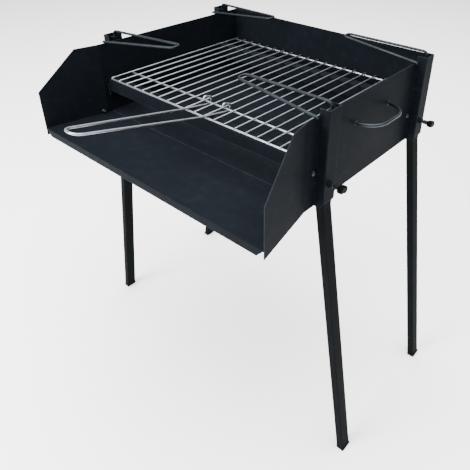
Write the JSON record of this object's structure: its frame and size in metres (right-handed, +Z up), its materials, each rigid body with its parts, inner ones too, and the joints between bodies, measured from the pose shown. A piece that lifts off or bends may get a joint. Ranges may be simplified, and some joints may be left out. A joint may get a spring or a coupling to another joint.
{
  "type": "charcoal barbecue",
  "caption": "Free-standing charcoal barbecue: open sheet-metal tub with flared front wings, wire grate with lifting handle, swing-out pan arms, plug-in splayed legs.",
  "frame": {"origin": "on the ground under the middle of the overall box", "axes": "+Z up, +X to the user's right, -Y towards the user at the open front"},
  "size_m": [0.7496, 0.6387, 0.7565],
  "materials": {
    "black_enamel": "satin",
    "leg_paint": "satin",
    "handle_paint": "satin",
    "chrome_wire": "satin",
    "rod_zinc": "satin",
    "zinc_plate": "satin",
    "black_plastic": "matte"
  },
  "bodies": {
    "tub": {"left_side_panel": "black_enamel", "right_side_panel": "black_enamel", "rear_panel": "black_enamel", "tub_floor": "black_enamel", "front_shelf": "black_enamel", "front_rail": "black_enamel", "rear_rail": "black_enamel", "front_right_post": "black_enamel", "front_left_post": "black_enamel", "rear_right_post": "black_enamel", "rear_left_post": "black_enamel", "clamp_nuts": "black_enamel", "arm_sleeves": "black_enamel", "left_carry_handle": "handle_paint", "right_carry_handle": "handle_paint", "panel_bolts": "zinc_plate", "panel_nuts": "zinc_plate"},
    "grate": {"grate_bars": "chrome_wire", "grate_front_wire": "chrome_wire", "grate_middle_wire": "chrome_wire", "grate_rear_wire": "chrome_wire"},
    "lifting_handle": {"grate_handle": "chrome_wire"},
    "front_right_leg": {"front_right_leg": "leg_paint", "front_right_foot_plug": "black_plastic"},
    "front_right_clamp": {"front_right_clamp_screw": "zinc_plate", "front_right_knob": "black_plastic"},
    "front_right_arm": {"front_right_arm": "rod_zinc"},
    "front_left_leg": {"front_left_leg": "leg_paint", "front_left_foot_plug": "black_plastic"},
    "front_left_clamp": {"front_left_clamp_screw": "zinc_plate", "front_left_knob": "black_plastic"},
    "front_left_arm": {"front_left_arm": "rod_zinc"},
    "rear_right_leg": {"rear_right_leg": "leg_paint", "rear_right_foot_plug": "black_plastic"},
    "rear_right_clamp": {"rear_right_clamp_screw": "zinc_plate", "rear_right_knob": "black_plastic"},
    "rear_right_arm": {"rear_right_arm": "rod_zinc"},
    "rear_left_leg": {"rear_left_leg": "leg_paint", "rear_left_foot_plug": "black_plastic"},
    "rear_left_clamp": {"rear_left_clamp_screw": "zinc_plate", "rear_left_knob": "black_plastic"},
    "rear_left_arm": {"rear_left_arm": "rod_zinc"}
  },
  "joints": [
    {"name": "grate_lift", "type": "slide", "parent": "tub", "child": "grate", "axis": [0, 0, 1], "range_m": [0, 0.05]},
    {"name": "lifting_handle_hinge", "type": "hinge", "parent": "grate", "child": "lifting_handle", "pos_m": [0.0053, -0.0136, 0.6625], "axis": [-1, 0, 0], "range_deg": [0, 95]},
    {"name": "front_right_leg_slide", "type": "slide", "parent": "tub", "child": "front_right_leg", "axis": [0, 0, -1], "range_m": [0, 0.06]},
    {"name": "front_right_clamp_turn", "type": "hinge", "parent": "tub", "child": "front_right_clamp", "pos_m": [0.2812, -0.03745, 0.616], "axis": [1, 0, 0], "range_deg": [0, 720]},
    {"name": "front_right_arm_swing", "type": "hinge", "parent": "tub", "child": "front_right_arm", "pos_m": [0.2715, -0.03425, 0.745], "axis": [0, 0, 1], "range_deg": [0, 180]},
    {"name": "front_left_leg_slide", "type": "slide", "parent": "tub", "child": "front_left_leg", "axis": [0, 0, -1], "range_m": [0, 0.06]},
    {"name": "front_left_clamp_turn", "type": "hinge", "parent": "tub", "child": "front_left_clamp", "pos_m": [-0.2812, -0.03745, 0.616], "axis": [-1, 0, 0], "range_deg": [0, 720]},
    {"name": "front_left_arm_swing", "type": "hinge", "parent": "tub", "child": "front_left_arm", "pos_m": [-0.2715, -0.03425, 0.745], "axis": [0, 0, -1], "range_deg": [0, 180]},
    {"name": "rear_right_leg_slide", "type": "slide", "parent": "tub", "child": "rear_right_leg", "axis": [0, 0, -1], "range_m": [0, 0.06]},
    {"name": "rear_right_clamp_turn", "type": "hinge", "parent": "tub", "child": "rear_right_clamp", "pos_m": [0.2812, 0.27575, 0.616], "axis": [1, 0, 0], "range_deg": [0, 720]},
    {"name": "rear_right_arm_swing", "type": "hinge", "parent": "tub", "child": "rear_right_arm", "pos_m": [0.2715, 0.27895, 0.745], "axis": [0, 0, 1], "range_deg": [0, 180]},
    {"name": "rear_left_leg_slide", "type": "slide", "parent": "tub", "child": "rear_left_leg", "axis": [0, 0, -1], "range_m": [0, 0.06]},
    {"name": "rear_left_clamp_turn", "type": "hinge", "parent": "tub", "child": "rear_left_clamp", "pos_m": [-0.2812, 0.27575, 0.616], "axis": [-1, 0, 0], "range_deg": [0, 720]},
    {"name": "rear_left_arm_swing", "type": "hinge", "parent": "tub", "child": "rear_left_arm", "pos_m": [-0.2715, 0.27895, 0.745], "axis": [0, 0, -1], "range_deg": [0, 180]}
  ]
}
